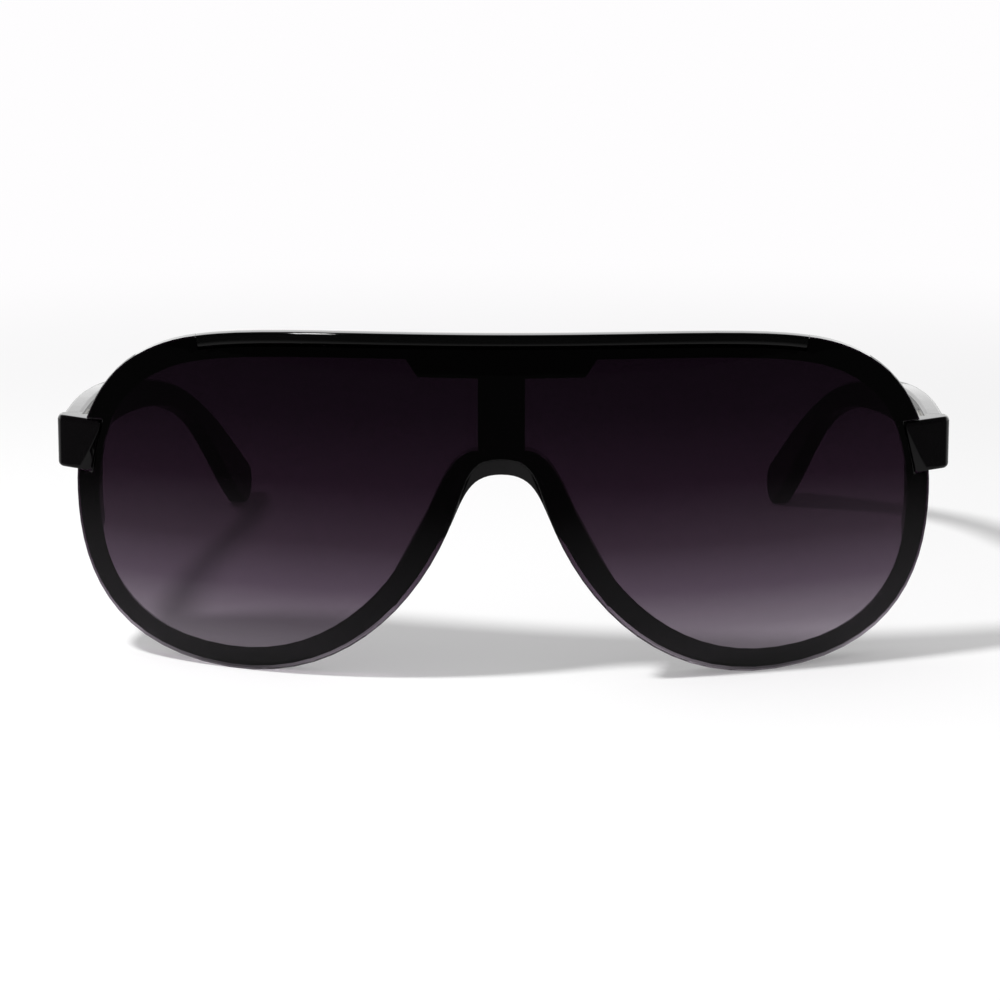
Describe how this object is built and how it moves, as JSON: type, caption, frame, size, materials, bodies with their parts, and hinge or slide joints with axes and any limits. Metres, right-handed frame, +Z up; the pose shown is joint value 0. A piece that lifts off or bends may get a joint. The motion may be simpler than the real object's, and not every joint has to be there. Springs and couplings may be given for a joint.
{
  "type": "shield sunglasses",
  "caption": "Shield sunglasses: a wide curved gradient lens bonded on a glossy frame with a brow bar, a moulded nose saddle and temples that fold on hinges.",
  "frame": {"origin": "on the ground under the middle of the open glasses, centred in width and in length", "axes": "+X to the wearer's left, square to the plane of symmetry; +Y from the lens back to the temple tips; +Z up, with the glasses standing on the lens lobes and the temple tips"},
  "size_m": [0.149, 0.1538, 0.0591],
  "materials": {
    "frame_black": "glossy injected nylon, black",
    "lens_tint": "polished polycarbonate, purple-grey gradient from dark at the crown to lighter at the lobes",
    "bar_black": "glossy injected nylon, black",
    "temple_black": "glossy injected nylon, black",
    "core_steel": "spring steel strip inside the temple",
    "hinge_metal": "nickel silver, satin",
    "screw_steel": "bright steel"
  },
  "bodies": {
    "front": {"front_frame": "frame_black", "shield_lens": "lens_tint", "brow_bar": "bar_black", "front_hinge_left": "hinge_metal", "front_hinge_right": "hinge_metal", "hinge_screw_left": "screw_steel", "hinge_screw_right": "screw_steel"},
    "temple_left": {"temple_left": "temple_black", "temple_core_left": "core_steel", "temple_hinge_left": "hinge_metal", "leaf_screws_left": "screw_steel"},
    "temple_right": {"temple_right": "temple_black", "temple_core_right": "core_steel", "temple_hinge_right": "hinge_metal", "leaf_screws_right": "screw_steel"}
  },
  "joints": [
    {"name": "left_temple_fold", "type": "hinge", "parent": "front", "child": "temple_left", "pos_m": [0.0687, -0.04876, 0.037], "axis": [0, 0, 1], "range_deg": [0, 81]},
    {"name": "right_temple_fold", "type": "hinge", "parent": "front", "child": "temple_right", "pos_m": [-0.0687, -0.04876, 0.037], "axis": [0, 0, -1], "range_deg": [0, 77]}
  ]
}
